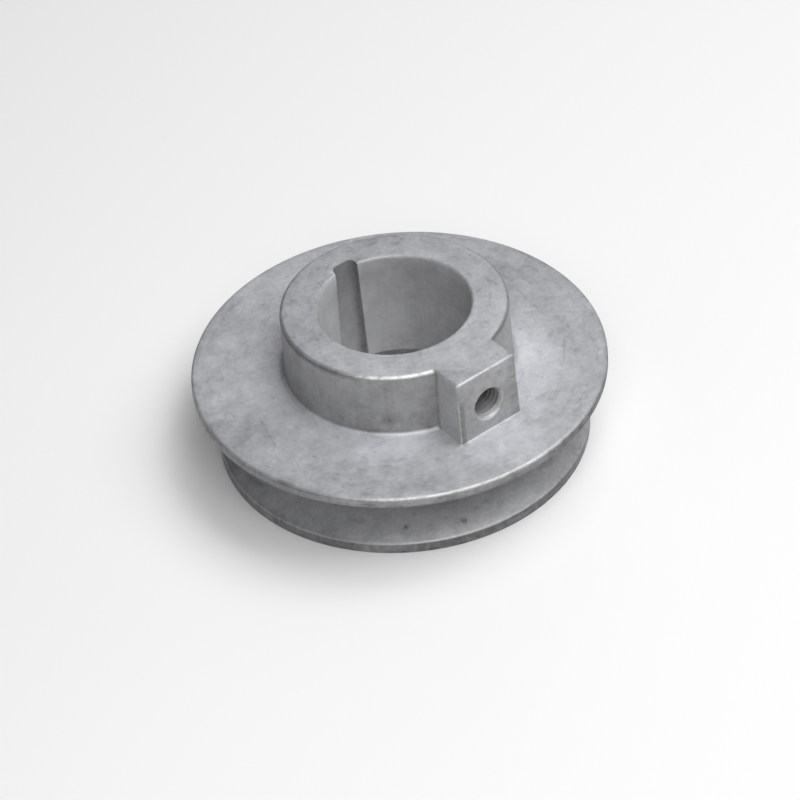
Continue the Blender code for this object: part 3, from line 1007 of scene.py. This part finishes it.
def cast_alloy():
    """Dull as-cast zinc alloy: mottled skin, smudges drawn out round the axis, draw lines down the walls,
    stains, painted light and shade, and edges rubbed bright with painted highlights on them."""
    material, tree, shader = new_material("cast_alloy", CAST_GREY, roughness=0.5, metallic=0.4)
    coordinates = add_node(tree, "ShaderNodeTexCoord")
    place = coordinates.outputs["Object"]
    parts = add_node(tree, "ShaderNodeSeparateXYZ", {0: place})
    normal_parts = add_node(tree, "ShaderNodeSeparateXYZ", {0: coordinates.outputs["Normal"]})
    upright = math_node(tree, "ABSOLUTE", normal_parts.outputs[2], 0.0)
    wall = ranged(tree, upright, 0.2, 0.6, 1.0, 0.0)
    drawn_out = math_node(tree, "DIVIDE", parts.outputs[2], DRAW_LINE_STRETCH)
    down_walls = round_the_axis(tree, parts, HUB_RADIUS, drawn_out)

    mottle = noise_node(tree, place, MOTTLE_SIZE, detail=5.0, roughness=0.65, distortion=0.3)
    specks = noise_node(tree, place, SPECK_SIZE, detail=3.0, roughness=0.65)
    grain = noise_node(tree, place, GRAIN_SIZE, detail=2.0, roughness=0.6)
    lines = noise_node(tree, down_walls, DRAW_LINE_SIZE, detail=3.0, roughness=0.6)
    patchy = noise_node(tree, place, BRIGHT_EDGE_PATCH_SIZE, detail=3.0, roughness=0.7)

    shade = cast_shade(tree, place, parts, wall, mottle, specks, grain, lines)
    upper_side = ranged(tree, parts.outputs[2], RIM_WIDTH / 2, RIM_WIDTH, 0.0, 1.0)
    cool = math_node(tree, "MULTIPLY", ranged(tree, upright, 0.3, 0.8, 0.0, 1.0), upper_side)
    tint = blend_colours(tree, cool, CAST_WARM, CAST_COOL)
    skin = add_node(tree, "ShaderNodeVectorMath", {0: tint, "Scale": shade}, operation="SCALE").outputs[0]
    stained = math_node(tree, "MULTIPLY", attribute(tree, "stain"), ranged(tree, specks, 0.3, 0.6, 0.4, 1.0))
    skin = blend_colours(tree, stained, skin, STAIN_BROWN)
    # Edges rubbed bright, with painted highlights on them, in patches
    worn_and_highlit = ranged(tree, attribute(tree, "wear_and_highlight"), 0.1, 0.8, 0.0, 1.0)
    rubbed_and_highlit = math_node(tree, "MULTIPLY", worn_and_highlit, ranged(tree, patchy, 0.34, 0.56, 0.15, 1.0), clamp=True)
    tree.links.new(blend_colours(tree, rubbed_and_highlit, skin, RUBBED_AND_HIGHLIGHT_BRIGHT), shader.inputs["Base Color"])

    polish = math_node(tree, "MULTIPLY", rubbed_and_highlit, 0.12)
    roughness = math_node(tree, "SUBTRACT", varied(tree, mottle, 0.48, 0.6), polish)
    tree.links.new(roughness, shader.inputs["Roughness"])

    skin_bump = bump(tree, grain, 0.025 * MM, 0.5)
    skin_bump = bump(tree, mottle, 0.12 * MM, 0.5, skin_bump)
    skin_bump = bump(tree, math_node(tree, "MULTIPLY", lines, wall), 0.03 * MM, 0.4, skin_bump)
    tree.links.new(skin_bump, shader.inputs["Normal"])
    return material


def screw_steel():
    """Black-oxide steel, a little browned and mottled."""
    material, tree, shader = new_material("screw_steel", SCREW_BLACK, roughness=0.38, metallic=0.8)
    place = add_node(tree, "ShaderNodeTexCoord").outputs["Object"]
    patches = noise_node(tree, place, SCREW_PATCH_SIZE, detail=3.0)
    fine = noise_node(tree, place, SCREW_GRAIN_SIZE, detail=2.0)
    browned = ranged(tree, patches, 0.35, 0.65, 0.0, 1.0)
    tree.links.new(blend_colours(tree, browned, SCREW_DARK, SCREW_BROWNED), shader.inputs["Base Color"])
    tree.links.new(varied(tree, fine, 0.32, 0.5), shader.inputs["Roughness"])
    tree.links.new(bump(tree, fine, 0.008 * MM, 0.5), shader.inputs["Normal"])
    return material


# ---------------------------------------------------------------- stage

FLOOR_HALF_SIZE = 3.0
WORLD_LIGHT = 0.07
WORLD_BRIGHTNESS = 0.8

# Soft boxes, all at one distance: (name, azimuth, elevation, side, power in watts)
# Azimuth 0 is at -Y, and 90 at +X.
LIGHT_DISTANCE = 0.6
LIGHTS = (
    ("fill_front", -35, 48, 0.35, 1.25),
    ("key_front", 10, 65, 0.35, 0.92),
    ("key_right", 55, 57, 0.4, 1.08),
    ("key_behind", 100, 65, 0.35, 0.95),
    ("low_right", 85, 15, 0.3, 0.23),
    ("low_behind", 145, 32, 0.3, 0.24),
    ("low_left", -105, 32, 0.3, 0.16),
)

# The camera: a long lens, rolled a little. It aims below and to the right of the flange's middle.
VIEW_AZIMUTH = -35.4
VIEW_ELEVATION = 39.74
VIEW_DISTANCE = 0.4652
VIEW_ROLL = radians(5.19)
VIEW_LENS = 144.0
AIM_BELOW = 6.02 * MM
AIM_RIGHT = 0.18 * MM


def add_floor():
    shape = bmesh.new()
    bmesh.ops.create_grid(shape, x_segments=4, y_segments=4, size=FLOOR_HALF_SIZE)
    floor = object_of(shape, "floor")
    material, _, shader = new_material("pale_floor", FLOOR_PALE, roughness=0.9, metallic=0.0)
    shader.inputs["Specular IOR Level"].default_value = 0.1
    floor.data.materials.append(material)


def toward(azimuth, elevation):
    """The direction out to this azimuth and elevation, in degrees."""
    a, e = radians(azimuth), radians(elevation)
    return Vector((sin(a) * cos(e), -cos(a) * cos(e), sin(e)))


def add_lights():
    for name, azimuth, elevation, side, power in LIGHTS:
        lamp = bpy.data.lights.new(name, "AREA")
        lamp.shape = "SQUARE"
        lamp.size = side
        lamp.energy = power
        back = toward(azimuth, elevation)
        obj = new_object(name, lamp)
        obj.location = back * LIGHT_DISTANCE
        obj.rotation_mode = "QUATERNION"
        obj.rotation_quaternion = back.to_track_quat("Z", "Y")


def add_world():
    """A pale backdrop to look at, which lights the object only a little."""
    world = bpy.data.worlds.new("studio")
    world.use_nodes = True
    tree = world.node_tree
    seen = add_node(tree, "ShaderNodeLightPath").outputs["Is Camera Ray"]
    strength = ranged(tree, seen, 0.0, 1.0, WORLD_LIGHT, WORLD_BRIGHTNESS)
    background = tree.nodes["Background"]
    background.inputs["Color"].default_value = WHITE
    tree.links.new(strength, background.inputs["Strength"])
    bpy.context.scene.world = world


def add_camera():
    """The camera looks down on the flange's top, past the hub's near side."""
    back = toward(VIEW_AZIMUTH, VIEW_ELEVATION)
    level = toward(VIEW_AZIMUTH + 90, 0)
    rise = back.cross(level)
    right = level * cos(VIEW_ROLL) - rise * sin(VIEW_ROLL)
    up = rise * cos(VIEW_ROLL) + level * sin(VIEW_ROLL)
    seen = Vector((0.0, 0.0, RIM_WIDTH))
    place = seen + back * VIEW_DISTANCE
    away = (place - (seen - up * AIM_BELOW + right * AIM_RIGHT)).normalized()
    right = up.cross(away).normalized()
    camera = bpy.data.cameras.new("camera")
    camera.lens = VIEW_LENS
    camera.sensor_width = 36.0
    camera.clip_start = 0.01
    obj = new_object("camera", camera)
    obj.matrix_world = Matrix((right, away.cross(right), away)).transposed().to_4x4()
    obj.location = place
    bpy.context.scene.camera = obj


def main():
    casting = build_casting()
    casting.data.materials.append(cast_alloy())
    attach(casting, "pulley")
    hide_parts("pulley_casting")
    screw = build_set_screw()
    screw.data.materials.append(screw_steel())
    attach(screw, "screw")
    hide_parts("set_screw")
    add_floor()
    add_lights()
    add_world()
    add_camera()
    bpy.context.scene.view_settings.view_transform = "Standard"


main()
